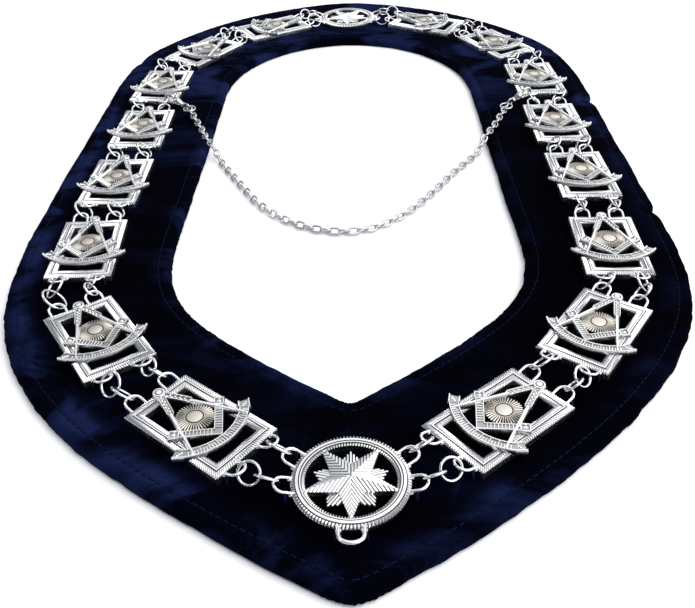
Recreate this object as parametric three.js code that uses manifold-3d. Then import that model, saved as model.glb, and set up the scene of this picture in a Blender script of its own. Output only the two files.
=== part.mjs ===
// Chain collar: a padded velvet collar carrying a chain of pierced plates between two star medallions.
// Millimetres, +Z up. The collar lies flat, its point towards -Y and its nape towards +Y.
// The origin is on the surface that it lies on, under the middle of the collar.
import * as THREE from 'three';
import { mergeVertices } from 'three/addons/utils/BufferGeometryUtils.js';
import Module from 'manifold-3d';

const wasm = await Module();
wasm.setup();

const RIGHT_ANGLE = Math.PI / 2;
const UP = new THREE.Vector3(0, 0, 1);
const PIECE_GAP = 0.3;

// Velvet band
const VELVET_THICK = 5;
const VELVET_INSET = 1.6;
const VELVET_SIDE_LOW = 1.2;
const VELVET_SIDE_HIGH = 3.6;
const STATIONS_PER_ROW = 2;

// Outer and inner edge of the velvet, from the front point round the right side to the nape
const BAND_ROWS = [
  { outerX: 0, outerY: -255.7, innerX: 0, innerY: -176.6 },
  { outerX: 13.5, outerY: -250, innerX: 6.5, innerY: -173 },
  { outerX: 61.6, outerY: -218, innerX: 36, innerY: -150.5 },
  { outerX: 96.9, outerY: -188, innerX: 55, innerY: -133 },
  { outerX: 121, outerY: -158, innerX: 66, innerY: -118.5 },
  { outerX: 135.3, outerY: -128, innerX: 73, innerY: -102 },
  { outerX: 141.2, outerY: -98, innerX: 75.8, innerY: -83 },
  { outerX: 142.4, outerY: -55, innerX: 75.4, innerY: -50 },
  { outerX: 141.5, outerY: 20, innerX: 74, innerY: 20 },
  { outerX: 141, outerY: 97, innerX: 73.4, innerY: 90 },
  { outerX: 138.7, outerY: 127, innerX: 70.5, innerY: 117 },
  { outerX: 131.6, outerY: 157, innerX: 63, innerY: 137 },
  { outerX: 114.2, outerY: 187, innerX: 50, innerY: 155.5 },
  { outerX: 86.7, outerY: 217, innerX: 34, innerY: 168.5 },
  { outerX: 50, outerY: 241, innerX: 17, innerY: 175.8 },
  { outerX: 0, outerY: 255.7, innerX: 0, innerY: 178.4 },
];

// Plates, counted from the front point; the turn is in degrees from the nape direction
const LEFT_PLATES = [
  { x: -50.4, y: -189.9, turn: 50.8 },
  { x: -95.4, y: -142.2, turn: 33.7 },
  { x: -114.4, y: -80.1, turn: 2.4 },
  { x: -114.4, y: -19.6, turn: -1.7 },
  { x: -112.7, y: 40.1, turn: -1.1 },
  { x: -111.5, y: 98.5, turn: -5 },
  { x: -93.2, y: 154.8, turn: -34 },
  { x: -51.2, y: 196.6, turn: -59 },
];
const RIGHT_PLATES = [
  { x: 49.6, y: -189.4, turn: -50.4 },
  { x: 92.5, y: -143.2, turn: -35.4 },
  { x: 111.8, y: -85.7, turn: -2.1 },
  { x: 113.6, y: -22.3, turn: 0.9 },
  { x: 112.3, y: 36.7, turn: 0.9 },
  { x: 111.5, y: 97.4, turn: 3 },
  { x: 96.4, y: 156.2, turn: 30 },
  { x: 54.4, y: 198.4, turn: 61 },
];

// Plate frame, with its underside at the plate's own zero height
const PLATE_WIDTH = 28;
const PLATE_LENGTH = 44.8;
const FRAME_BAND = 4.9;
const FRAME_THICK = 3.4;

// Emblem on the plate: compasses, square, quadrant arc and sun
const EMBLEM_BASE = 3.2;
const EMBLEM_TOP = 5;
const HINGE = { y: 20.2, radius: 2.3 };
const LEG = { crotchY: 16.7, tipX: 12.2, tipY: -10.5, tipHalf: 0.5 };
const SQUARE = { apexY: -11.3, half: 1.5, reach: 16.4 };
const ARC = { centreY: 7.9, outer: 22.5, inner: 18.9, outerSpan: 52, innerSpan: 43, steps: 4 };
const SUN = { y: 2.3, radius: 6, top: 4.4, sides: 10 };

// U-shaped wire loops on the ends of the plates and round the medallions
const LOOP_SIDE = 3.1;
const LOOP_WIRE = 0.5;
const LOOP_WIRE_SIDES = 4;
const LOOP_OFFSET = 7.5;
const LOOP_ROOT_DEPTH = 0.5;
const LOOP_ROOT_HEIGHT = 2.4;
const LOOP_SLOPE = 16 * Math.PI / 180;
const LOOP_REACH = 5.8;
const LOOP_CROWN_SIDE = 2.7;

// Medallions
const MEDALLION = { radius: 18.9, inner: 14.6, groove: 16.5, rimTop: 3.4, grooveTop: 2.7, sides: 16 };
const STAR = { points: 5, outer: 15.2, inner: 5.8, base: 0.8, rim: 2.2, apex: 5.6 };
const RAYS = { points: 5, outer: 12.2, inner: 6.2, base: 0.8, rim: 1.9, apex: 4.2 };
const FRONT_MEDALLION = { y: -215.9, innerLoop: 27, outerLoop: -6, pendantLoop: -90 };
const BACK_MEDALLION = { y: 213.9, innerLoop: -22, outerLoop: 12 };

// Jump rings between the loops
const RING_RADIUS = 4.5;
const RING_WIRE = 0.42;
const RING_SIDES = 10;
const RING_WIRE_SIDES = 5;
const RING_PAST_CROWN = 1.6;
const SINGLE_RING_SPAN = 8;
const PAIR_BITE = 0.5;
const RING_STEEPEST = 50 * Math.PI / 180;

// Cross chain between the two sides, with a clasp at each end
const CLASP_LINK = 5;
const CLASP = { length: 17, thick: 1.6, half: 2.8, limb: 1, slack: 1.3, holeEnd: 8.8, drop: 18 };
const CLASP_EYE = { half: 1.6, hole: 0.8, sides: 6 };
const CLASP_LEFT_AIM = { x: 0.88, y: -0.475 };
const CLASP_RIGHT_AIM = { x: -0.85, y: -0.53 };
const CHAIN_RADIUS = 1.4;
const CHAIN_LEAD = 2;
const CHAIN_SIDES = 8;
const CHAIN_STEPS = 36;
const CHAIN_ROUTE = [
  { x: -80, y: 38, z: 6.8 },
  { x: -76.5, y: 28, z: 6.8 },
  { x: -72.4, y: 20.5, z: 6.3 },
  { x: -69, y: 14.5, z: 3.4 },
  { x: -66, y: 8, z: 1.7 },
  { x: -53.5, y: -16.5, z: 1.7 },
  { x: -42, y: -37, z: 1.7 },
  { x: -26, y: -53, z: 1.7 },
  { x: -8, y: -61, z: 1.7 },
  { x: 10, y: -59, z: 1.7 },
  { x: 27, y: -46, z: 1.7 },
  { x: 41, y: -27, z: 1.7 },
  { x: 53.8, y: -6.4, z: 1.7 },
  { x: 66, y: 11, z: 1.7 },
  { x: 69, y: 16.5, z: 3.4 },
  { x: 72.4, y: 22.5, z: 6.3 },
  { x: 76.5, y: 30, z: 6.8 },
  { x: 80, y: 37.5, z: 6.8 },
];

// Worked out from the sizes above
const SEAT = VELVET_THICK + PIECE_GAP;
const CROWN_REACH = LOOP_REACH * Math.cos(LOOP_SLOPE) - LOOP_ROOT_DEPTH;
const CROWN_HEIGHT = SEAT + LOOP_ROOT_HEIGHT + LOOP_REACH * Math.sin(LOOP_SLOPE);
const RING_DIP = CROWN_HEIGHT - SEAT - RING_WIRE;

const velvetCloth = new THREE.MeshStandardMaterial({ color: 0x0b1030, roughness: 0.95, metalness: 0 });
const plateSilver = new THREE.MeshStandardMaterial({ color: 0xdcdad4, roughness: 0.22, metalness: 1 });
const ringSilver = new THREE.MeshStandardMaterial({ color: 0xd4d4d2, roughness: 0.18, metalness: 1 });

const radians = (degrees) => degrees * Math.PI / 180;

// Joining

function solidOf(geometry) {
  const bare = geometry.clone();
  bare.deleteAttribute('normal');
  bare.deleteAttribute('uv');
  const merged = mergeVertices(bare, 1e-4);
  const vertProperties = new Float32Array(merged.attributes.position.array);
  const triVerts = new Uint32Array(merged.index.array);
  return new wasm.Manifold(new wasm.Mesh({ numProp: 3, vertProperties, triVerts }));
}

function fuse(geometries) {
  const joined = geometries.map(solidOf).reduce((whole, next) => whole.add(next));
  const mesh = joined.getMesh();
  const geometry = new THREE.BufferGeometry();
  geometry.setAttribute('position', new THREE.BufferAttribute(new Float32Array(mesh.vertProperties), 3));
  geometry.setIndex(new THREE.BufferAttribute(new Uint32Array(mesh.triVerts), 1));
  geometry.computeVertexNormals();
  return geometry;
}

// Shapes that several pieces use

// A closed ring of matching sections, such as a band or a mitred frame
function sectionRing(sections) {
  const count = sections.length;
  const size = sections[0].length;
  const index = [];
  for (let i = 0; i < count; i++) {
    const here = i * size;
    const next = ((i + 1) % count) * size;
    for (let j = 0; j < size; j++) {
      const k = (j + 1) % size;
      index.push(here + j, next + k, here + k);
      index.push(here + j, next + j, next + k);
    }
  }
  const geometry = new THREE.BufferGeometry();
  geometry.setFromPoints(sections.flat());
  geometry.setIndex(index);
  geometry.computeVertexNormals();
  return geometry;
}

function slab(points, bottom, top) {
  const shape = new THREE.Shape(points.map(([x, y]) => new THREE.Vector2(x, y)));
  const geometry = new THREE.ExtrudeGeometry(shape, { depth: top - bottom, bevelEnabled: false });
  return geometry.translate(0, 0, bottom);
}

// A round form turned about the upright axis from a profile of radius and height
function turned(profile, sides) {
  const points = profile.map(([radius, height]) => new THREE.Vector2(radius, height));
  return new THREE.LatheGeometry(points, sides).rotateX(RIGHT_ANGLE);
}

function circlePoints(radius, sides, centreX) {
  const corner = (_, i) => new THREE.Vector2(
    centreX + radius * Math.cos(2 * Math.PI * i / sides),
    radius * Math.sin(2 * Math.PI * i / sides),
  );
  return Array.from({ length: sides }, corner);
}

function circleShape(radius, sides) {
  return new THREE.Shape(circlePoints(radius, sides, 0));
}

function mirrored(rightPoints) {
  const left = rightPoints.filter(([x]) => x > 0).map(([x, y]) => [-x, y]).reverse();
  return [...rightPoints, ...left];
}

// Velvet

function edgeCurve(row, side) {
  const right = BAND_ROWS.map((entry) => [entry[row], entry[side]]);
  const points = mirrored(right).map(([x, y]) => new THREE.Vector3(x, y, 0));
  return new THREE.CatmullRomCurve3(points, true, 'centripetal');
}

function velvetBand() {
  const outer = edgeCurve('outerX', 'outerY');
  const inner = edgeCurve('innerX', 'innerY');
  const stations = STATIONS_PER_ROW * outer.points.length;
  const sections = [];
  for (let i = 0; i < stations; i++) {
    const out = outer.getPoint(i / stations);
    const into = inner.getPoint(i / stations);
    const across = into.clone().sub(out).normalize();
    const at = (edge, inset, height) => edge.clone().addScaledVector(across, inset).setZ(height);
    sections.push([
      at(out, VELVET_INSET, 0),
      at(out, 0, VELVET_SIDE_LOW),
      at(out, 0, VELVET_SIDE_HIGH),
      at(out, VELVET_INSET, VELVET_THICK),
      at(into, -VELVET_INSET, VELVET_THICK),
      at(into, 0, VELVET_SIDE_HIGH),
      at(into, 0, VELVET_SIDE_LOW),
      at(into, -VELVET_INSET, 0),
    ]);
  }
  return sectionRing(sections);
}

// Plate

function plateFrame() {
  const profile = [[0, 0], [0, FRAME_THICK], [FRAME_BAND, FRAME_THICK], [FRAME_BAND, 0]];
  const corners = [[1, 1], [-1, 1], [-1, -1], [1, -1]];
  const section = ([signX, signY]) => profile.map(([inset, height]) => new THREE.Vector3(
    signX * (PLATE_WIDTH / 2 - inset),
    signY * (PLATE_LENGTH / 2 - inset),
    height,
  ));
  return sectionRing(corners.map(section));
}

function compassLegs() {
  const fall = Math.atan2(LEG.tipX, HINGE.y - LEG.tipY);
  const besideX = Math.cos(fall);
  const besideY = Math.sin(fall);
  const beside = (x, y, half) => [x + half * besideX, y + half * besideY];
  const diagonal = HINGE.radius * Math.SQRT1_2;
  const right = [
    [0, HINGE.y + HINGE.radius],
    [diagonal, HINGE.y + diagonal],
    [HINGE.radius, HINGE.y],
    beside(LEG.tipX, LEG.tipY, LEG.tipHalf),
    beside(LEG.tipX, LEG.tipY, -LEG.tipHalf),
    [0, LEG.crotchY],
  ];
  return slab(mirrored(right), EMBLEM_BASE, EMBLEM_TOP);
}

function trySquare() {
  const diagonal = Math.SQRT1_2;
  const middleY = SQUARE.apexY + SQUARE.half / diagonal;
  const beside = (along, out) => [(along + out) * diagonal, middleY + (along - out) * diagonal];
  const right = [
    [0, SQUARE.apexY],
    beside(SQUARE.reach, SQUARE.half),
    beside(SQUARE.reach, -SQUARE.half),
    [0, middleY + SQUARE.half / diagonal],
  ];
  return slab(mirrored(right), EMBLEM_BASE, EMBLEM_TOP);
}

function quadrantArc() {
  const at = (radius, degrees) => [
    radius * Math.sin(radians(degrees)),
    ARC.centreY - radius * Math.cos(radians(degrees)),
  ];
  const points = [];
  for (let i = 0; i <= ARC.steps; i++) {
    points.push(at(ARC.outer, ARC.outerSpan * (2 * i / ARC.steps - 1)));
  }
  for (let i = 0; i <= ARC.steps; i++) {
    points.push(at(ARC.inner, ARC.innerSpan * (1 - 2 * i / ARC.steps)));
  }
  return slab(points, EMBLEM_BASE, EMBLEM_TOP);
}

function sunDisc() {
  const height = SUN.top - EMBLEM_BASE;
  const disc = new THREE.CylinderGeometry(SUN.radius, SUN.radius, height, SUN.sides);
  return disc.rotateX(RIGHT_ANGLE).translate(0, SUN.y, EMBLEM_BASE + height / 2);
}

// One loop, its root at the origin and its crown towards +Y, rising a little
function wireLoop() {
  const left = [[-LOOP_SIDE, 0], [-LOOP_CROWN_SIDE, LOOP_REACH]];
  const right = [[LOOP_CROWN_SIDE, LOOP_REACH], [LOOP_SIDE, 0]];
  const points = [...left, ...right].map(([x, y]) => new THREE.Vector3(x, y, 0));
  const path = new THREE.CurvePath();
  for (let i = 1; i < points.length; i++) {
    path.add(new THREE.LineCurve3(points[i - 1], points[i]));
  }
  const section = circleShape(LOOP_WIRE, LOOP_WIRE_SIDES);
  const options = { steps: points.length - 1, bevelEnabled: false, extrudePath: path };
  return new THREE.ExtrudeGeometry(section, options).rotateX(LOOP_SLOPE);
}

function plateLoops() {
  const loops = [];
  for (const turn of [0, Math.PI]) {
    for (const side of [-LOOP_OFFSET, LOOP_OFFSET]) {
      const loop = wireLoop().translate(side, PLATE_LENGTH / 2 - LOOP_ROOT_DEPTH, LOOP_ROOT_HEIGHT);
      loops.push(loop.rotateZ(turn));
    }
  }
  return loops;
}

function plateGeometry() {
  const emblem = [compassLegs(), trySquare(), quadrantArc(), sunDisc()];
  return fuse([plateFrame(), ...emblem, ...plateLoops()]);
}

// Medallion

function medallionRing() {
  const profile = [
    [MEDALLION.inner, 0],
    [MEDALLION.radius, 0],
    [MEDALLION.radius, MEDALLION.rimTop],
    [MEDALLION.groove, MEDALLION.grooveTop],
    [MEDALLION.inner, MEDALLION.rimTop],
    [MEDALLION.inner, 0],
  ];
  return turned(profile, MEDALLION.sides);
}

// A star with a flat back and a raised middle, one point towards `aim` degrees
function starForm(star, aim) {
  const corners = 2 * star.points;
  const rim = [];
  const base = [];
  for (let i = 0; i < corners; i++) {
    const radius = i % 2 === 0 ? star.outer : star.inner;
    const angle = radians(aim) + 2 * Math.PI * i / corners;
    rim.push(new THREE.Vector3(radius * Math.cos(angle), radius * Math.sin(angle), star.rim));
    base.push(rim[i].clone().setZ(star.base));
  }
  const points = [...rim, ...base, new THREE.Vector3(0, 0, star.apex), new THREE.Vector3(0, 0, star.base)];
  const index = [];
  for (let i = 0; i < corners; i++) {
    const j = (i + 1) % corners;
    index.push(i, j, 2 * corners);
    index.push(corners + j, corners + i, 2 * corners + 1);
    index.push(corners + i, corners + j, j);
    index.push(corners + i, j, i);
  }
  const geometry = new THREE.BufferGeometry().setFromPoints(points);
  geometry.setIndex(index);
  return geometry;
}

function medallionGeometry(loopAngles) {
  const rootRadius = MEDALLION.radius - LOOP_ROOT_DEPTH;
  const loops = loopAngles.map((angle) => {
    const loop = wireLoop().translate(0, rootRadius, LOOP_ROOT_HEIGHT);
    return loop.rotateZ(radians(angle - 90));
  });
  return fuse([medallionRing(), starForm(STAR, -90), starForm(RAYS, 90), ...loops]);
}

function bothSides(angle) {
  return [angle, 180 - angle];
}

// Where rings hold the loops: the root of each loop, and its crown, at the middle or at one shoulder

function placed(x, y, turn, centre) {
  const point = new THREE.Vector3(x, y, CROWN_HEIGHT).applyAxisAngle(UP, radians(turn));
  return point.add(new THREE.Vector3(centre.x, centre.y, 0));
}

function plateHold(plate, end, side) {
  const rootY = end * PLATE_LENGTH / 2;
  return {
    root: placed(side, rootY, plate.turn, plate),
    crown: placed(side, rootY + end * CROWN_REACH, plate.turn, plate),
  };
}

function medallionHold(medallion, angle, shoulder) {
  const beside = shoulder * LOOP_CROWN_SIDE;
  const centre = { x: 0, y: medallion.y };
  return {
    root: placed(MEDALLION.radius, beside, angle, centre),
    crown: placed(MEDALLION.radius + CROWN_REACH, beside, angle, centre),
  };
}

// Jump rings

// A ring about `centre`, its long way along `along` and its other way across leaning towards `raised`
function ringSeat(centre, along, radius, raised, lean) {
  const tilt = lean * Math.min(RING_STEEPEST, Math.asin(Math.min(1, RING_DIP / radius)));
  const across = new THREE.Vector3().crossVectors(UP, along);
  across.multiplyScalar(Math.sign(across.dot(raised)) * Math.cos(tilt));
  across.addScaledVector(UP, Math.sin(tilt));
  return { centre, along, across, radius };
}

function ringAt({ centre, along, across, radius }) {
  const normal = new THREE.Vector3().crossVectors(along, across);
  const frame = new THREE.Matrix4().makeBasis(along, across, normal).setPosition(centre);
  return new THREE.TorusGeometry(radius, RING_WIRE, RING_WIRE_SIDES, RING_SIDES).applyMatrix4(frame);
}

// One ring, lined up with the loops that it joins
function singleSeat(from, to, raised) {
  const along = to.root.clone().sub(from.root).setZ(0).normalize();
  const radius = Math.max(RING_RADIUS, from.crown.distanceTo(to.crown) / 2 + RING_PAST_CROWN);
  const centre = from.crown.clone().add(to.crown).multiplyScalar(0.5);
  return ringSeat(centre, along, radius, raised, 1);
}

// Two rings through each other, pulled straight between the loops
function ringPair(from, to, raised) {
  const along = to.crown.clone().sub(from.crown);
  const reach = along.length() + 2 * RING_PAST_CROWN;
  along.normalize();
  const radius = (reach + PAIR_BITE) / 4;
  const inset = radius - RING_PAST_CROWN;
  const first = from.crown.clone().addScaledVector(along, inset);
  const second = to.crown.clone().addScaledVector(along, -inset);
  return fuse([
    ringAt(ringSeat(first, along, radius, raised, 1)),
    ringAt(ringSeat(second, along, radius, raised, -1)),
  ]);
}

function linkGeometry(from, to, raised) {
  if (from.crown.distanceTo(to.crown) > SINGLE_RING_SPAN) {
    return ringPair(from, to, raised);
  }
  return ringAt(singleSeat(from, to, raised));
}

// Cross chain

// A clasp on edge: its hook at the origin holds a ring, and its eye is towards +X
function claspForm() {
  const nose = CLASP.limb + RING_WIRE + CLASP.slack;
  const eyeX = CLASP.length - nose - CLASP_EYE.half;
  const upper = [
    [-nose, 0],
    [-nose * 0.6, CLASP.half * 0.8],
    [CLASP.limb, CLASP.half],
    [CLASP.holeEnd * 0.7, CLASP.half],
    [CLASP.holeEnd + CLASP.limb, CLASP_EYE.half],
    [eyeX + CLASP_EYE.half * 0.6, CLASP_EYE.half],
    [eyeX + CLASP_EYE.half, 0],
  ];
  const lower = upper.slice(1, -1).map(([x, y]) => [x, -y]).reverse();
  const shape = new THREE.Shape([...upper, ...lower].map(([x, y]) => new THREE.Vector2(x, y)));
  const holeHalf = CLASP.half - CLASP.limb;
  const back = CLASP.holeEnd - nose;
  const holeNose = CLASP.limb - nose;
  const hook = [[holeNose, holeHalf * 0.5], [holeNose, -holeHalf * 0.5], [CLASP.limb, -holeHalf]];
  hook.push([back, -holeHalf * 0.6], [back, holeHalf * 0.6], [CLASP.limb, holeHalf]);
  shape.holes.push(new THREE.Path(hook.map(([x, y]) => new THREE.Vector2(x, y))));
  shape.holes.push(new THREE.Path(circlePoints(CLASP_EYE.hole, CLASP_EYE.sides, eyeX)));
  const geometry = new THREE.ExtrudeGeometry(shape, { depth: CLASP.thick, bevelEnabled: false });
  return geometry.translate(0, 0, -CLASP.thick / 2).rotateX(RIGHT_ANGLE);
}

function claspPlace(plates, side, aimRow) {
  const aim = new THREE.Vector3(aimRow.x, aimRow.y, 0).normalize();
  const from = plateHold(plates[CLASP_LINK - 1], 1, -side * LOOP_OFFSET);
  const to = plateHold(plates[CLASP_LINK], -1, -side * LOOP_OFFSET);
  const ring = singleSeat(from, to, aim);
  const hook = ring.centre.clone().addScaledVector(ring.across, ring.radius);
  const drop = radians(CLASP.drop);
  const down = aim.clone().multiplyScalar(Math.cos(drop)).setZ(-Math.sin(drop));
  const tip = CLASP.length - CLASP.limb - RING_WIRE - CLASP.slack + PIECE_GAP;
  const end = hook.clone().addScaledVector(down, tip);
  const next = hook.clone().addScaledVector(down, tip + CHAIN_LEAD);
  return { hook, end, next, turn: Math.atan2(aim.y, aim.x), drop };
}

function crossChain(left, right) {
  const route = CHAIN_ROUTE.map(({ x, y, z }) => new THREE.Vector3(x, y, z));
  const points = [left.end, left.next, ...route, right.next, right.end];
  const path = new THREE.CatmullRomCurve3(points, false, 'centripetal');
  const options = { steps: CHAIN_STEPS, bevelEnabled: false, extrudePath: path };
  return new THREE.ExtrudeGeometry(circleShape(CHAIN_RADIUS, CHAIN_SIDES), options);
}

// Assembly

const collar = new THREE.Group();

function addPiece(name, geometry, material) {
  const mesh = new THREE.Mesh(geometry, material);
  mesh.name = name;
  collar.add(mesh);
  return mesh;
}

function addLinks(name, plates, side) {
  const rows = [
    { place: 'inner', offset: -LOOP_OFFSET, loop: 'innerLoop', shoulder: 0 },
    { place: 'outer', offset: LOOP_OFFSET, loop: 'outerLoop', shoulder: 0.6 },
  ];
  const sided = (angle) => (side > 0 ? angle : 180 - angle);
  for (const { place, offset, loop, shoulder } of rows) {
    const starts = plates.map((plate) => plateHold(plate, 1, side * offset));
    const ends = plates.map((plate) => plateHold(plate, -1, side * offset));
    starts.unshift(medallionHold(FRONT_MEDALLION, sided(FRONT_MEDALLION[loop]), side * shoulder));
    ends.push(medallionHold(BACK_MEDALLION, sided(BACK_MEDALLION[loop]), 0));
    starts.forEach((start, i) => {
      const raised = start.crown.clone().add(ends[i].crown).setZ(0);
      if (place === 'inner' && i === CLASP_LINK) {
        raised.negate();
      }
      addPiece(`link_${name}_${i}_${place}`, linkGeometry(start, ends[i], raised), ringSilver);
    });
  }
}

addPiece('velvet_collar', velvetBand(), velvetCloth);

const plateShape = plateGeometry();
for (const [name, plates] of [['left', LEFT_PLATES], ['right', RIGHT_PLATES]]) {
  plates.forEach((plate, i) => {
    const mesh = addPiece(`plate_${name}_${i + 1}`, plateShape, plateSilver);
    mesh.position.set(plate.x, plate.y, SEAT);
    mesh.rotation.z = radians(plate.turn);
  });
}

const { innerLoop, outerLoop, pendantLoop } = FRONT_MEDALLION;
const frontLoops = [...bothSides(innerLoop), ...bothSides(outerLoop), pendantLoop];
const backLoops = [...bothSides(BACK_MEDALLION.innerLoop), ...bothSides(BACK_MEDALLION.outerLoop)];
const frontMedallion = addPiece('medallion_front', medallionGeometry(frontLoops), plateSilver);
frontMedallion.position.set(0, FRONT_MEDALLION.y, SEAT);
const backMedallion = addPiece('medallion_back', medallionGeometry(backLoops), plateSilver);
backMedallion.position.set(0, BACK_MEDALLION.y, SEAT);

addLinks('left', LEFT_PLATES, -1);
addLinks('right', RIGHT_PLATES, 1);

const leftClasp = claspPlace(LEFT_PLATES, -1, CLASP_LEFT_AIM);
const rightClasp = claspPlace(RIGHT_PLATES, 1, CLASP_RIGHT_AIM);
for (const [name, place] of [['clasp_left', leftClasp], ['clasp_right', rightClasp]]) {
  const mesh = addPiece(name, claspForm(), ringSilver);
  mesh.position.copy(place.hook);
  mesh.rotation.set(0, place.drop, place.turn, 'ZYX');
}
addPiece('cross_chain', crossChain(leftClasp, rightClasp), ringSilver);

export default collar;
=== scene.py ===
"""A ceremonial chain collar lying flat: pierced silver plates and star medallions on padded velvet."""
import math

import bmesh
import bpy
from mathutils import Matrix, Vector, noise


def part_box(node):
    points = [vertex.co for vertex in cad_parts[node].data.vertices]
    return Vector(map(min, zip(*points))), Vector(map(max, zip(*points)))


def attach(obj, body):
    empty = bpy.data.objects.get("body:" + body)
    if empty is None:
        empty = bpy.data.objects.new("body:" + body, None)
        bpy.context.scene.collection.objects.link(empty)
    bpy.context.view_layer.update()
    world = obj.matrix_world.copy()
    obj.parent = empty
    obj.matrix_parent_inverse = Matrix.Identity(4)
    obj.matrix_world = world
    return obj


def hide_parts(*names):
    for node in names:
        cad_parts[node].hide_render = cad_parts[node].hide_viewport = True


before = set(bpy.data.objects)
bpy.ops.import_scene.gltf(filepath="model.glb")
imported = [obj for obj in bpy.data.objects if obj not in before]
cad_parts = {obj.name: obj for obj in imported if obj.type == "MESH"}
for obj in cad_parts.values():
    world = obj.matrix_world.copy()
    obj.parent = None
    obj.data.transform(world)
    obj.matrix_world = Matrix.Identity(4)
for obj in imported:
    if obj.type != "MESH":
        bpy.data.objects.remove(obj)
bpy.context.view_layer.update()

# Sizes are in millimetres and places in the collar's own frame, unless a comment says otherwise
MM = 0.001
UP = Vector((0, 0, 1))
LEVEL_SLACK = 0.05
WELD_REACH = 0.001
PATH_SAMPLES = 20

# Camera
CAMERA_PLACE = Vector((3.0, -399.3, 213.0))
CAMERA_DIP = math.radians(36.767)
CAMERA_SWING = math.radians(0.8)
CAMERA_ROLL = math.radians(-1.593)
CAMERA_LENS = 45.03
CAMERA_SENSOR = 36.0
CAMERA_NEAR = 10.0

# Room, in metres; each lamp has its place, size and power, and points at the collar
BRIGHT_SIDE = (0.5, 0.3, 0.63)
ROOM_TURN = (0.15, 0.72)
ROOM_DARK = (0.24, 0.26, 0.295, 1)
ROOM_BRIGHT = (1.4, 1.41, 1.45, 1)
FLOOR_REACH = 3.0
LAMPS = {
    "right_softbox": (Vector((1.0, -0.4, 1.3)), 2.2, 27),
    "left_light": (Vector((-1.2, 0.2, 0.9)), 0.4, 3),
}

# Colours of the pile, whose navy stands for nap patches and a painted sheen, and of silver that is dulled
# by handling
DULL_SILVER = (0.62, 0.62, 0.64, 1)
DARK_PILE = (0.00025, 0.0002, 0.0009, 1)
PILE_NAP_AND_SHEEN = (0.0085, 0.0145, 0.058, 1)
PILE_GAPS = (0.0003, 0.0003, 0.0016, 1)
PILE_SHEEN = (0.008, 0.011, 0.07, 1)
PALE_FLOOR = ((0.93, 0.93, 0.93, 1), (0.95, 0.95, 0.95, 1))
THREAD_SHADE = 0.4

# Depth of the fine grain, and the angles in degrees from which an edge is sharp
SILVER_GRAIN = 0.04
PILE_GRAIN = 0.3
THREAD_GRAIN = 0.1
METAL_EDGE = 38
CHAIN_EDGE = 60
SOFT_EDGE = 80

# Chain order, from the front medallion to the back one
SIDES = {"left": -1, "right": 1}
PLATES_A_SIDE = 8
CLASP_LINK = 5

# Plate frame: inset from the outer edge, height, and how deep the milling cuts, which also sets the painted
# shade in the teeth
PLATE_WIDTH = 28.0
PLATE_LENGTH = 44.8
FRAME_PROFILE = [
    (0.00, 0.00, 0.0), (0.00, 2.30, 0.0), (0.05, 2.60, 0.40), (0.30, 2.95, 0.45),
    (1.00, 3.10, 0.35), (1.80, 3.20, 0.30), (1.92, 3.10, 0.20), (1.98, 2.70, 0.0),
    (2.22, 2.70, 0.0), (2.28, 3.25, 0.0), (2.76, 3.25, 0.0), (2.82, 2.70, 0.0),
    (3.06, 2.70, 0.0), (3.12, 3.10, 0.20), (3.24, 3.20, 0.30), (4.00, 3.10, 0.35),
    (4.60, 2.95, 0.45), (4.85, 2.60, 0.40), (4.90, 2.30, 0.0), (4.90, 0.00, 0.0),
]
FRAME_GROOVES = (7, 8, 11, 12)
MILL_WAVE = (0.0, 0.25, 1.0, 0.25)
MILL_STEP = 0.24
MILL_SHADE = 1.3

# Bars of the emblem: share of the half width, share of the height, and painted shade
EMBLEM_BASE = 2.7
BORDERED = [(-1, 0, 0.9), (-1, 0.8, 0.35), (-0.9, 1, 0), (-0.74, 1, 0), (-0.64, 0.72, 0.68)]
BORDERED += [(-share, height, painted_light) for share, height, painted_light in reversed(BORDERED)]
PLAIN = [(-1, 0, 0.9), (-1, 0.7, 0.25), (-0.45, 1, 0), (0.45, 1, 0), (1, 0.7, 0.25), (1, 0, 0.9)]
TICK_DEPTH = 0.8
PEARL_LIFTS = (0.0, 0.45, 0.8, 0.97)

# Compasses: a leg's stations have a distance from the hinge and a half width
HINGE = Vector((0, 20.2))
HINGE_PROFILE = [
    (0.00, 0.00, 0), (2.30, 0.00, 0), (2.30, 2.25, 0), (2.00, 2.65, 0), (1.50, 2.65, 0),
    (1.40, 2.30, 0), (1.15, 2.30, 0), (1.05, 2.75, 0), (0.00, 2.95, 0),
]
HINGE_GROOVES = (5, 6)
HINGE_STEPS = 28
LEG_TIP = Vector((12.2, -10.5))
LEG_LENGTH = (LEG_TIP - HINGE).length
LEG_TOP = 5.1
LEG_UPPER = ((1.2, 1.35), (11.5, 1.35), (12.4, 0.95))
LEG_LOWER_TOP = 4.95
LEG_LOWER = ((11.8, 0.95), (0.85 * LEG_LENGTH, 0.7125), (LEG_LENGTH, 0.4275))
LEG_PEARLS = 9
LEG_PEARL_START = 3.2
LEG_PEARL_PITCH = 0.9
LEG_PEARL_SIDE = 0.34
LEG_PEARL_SINK = 0.7
LEG_PEARL_RADIUS = 0.42

# Try-square and the blocks at its ends
SQUARE_APEX_Y = -11.3
SQUARE_HALF = 1.55
SQUARE_TOP = 4.7
SQUARE_TICKS = 9
SQUARE_TICK_START = 2.2
SQUARE_TICK_PITCH = 1.2
SQUARE_TICK_SHARE = 0.7
SQUARE_TICK_HALF = 0.26
SQUARE_TICK_SINK = 0.08
BLOCK_START = 12.8
BLOCK_END = 16.4
BLOCK_HALF = 1.9
BLOCK_RISE = 0.1
BLOCK_BORDER = 0.3
BLOCK_BORDER_SHARE = 0.9
BLOCK_PEARL_RADIUS = 0.8
BLOCK_PEARL_SINK = 0.5

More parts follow.
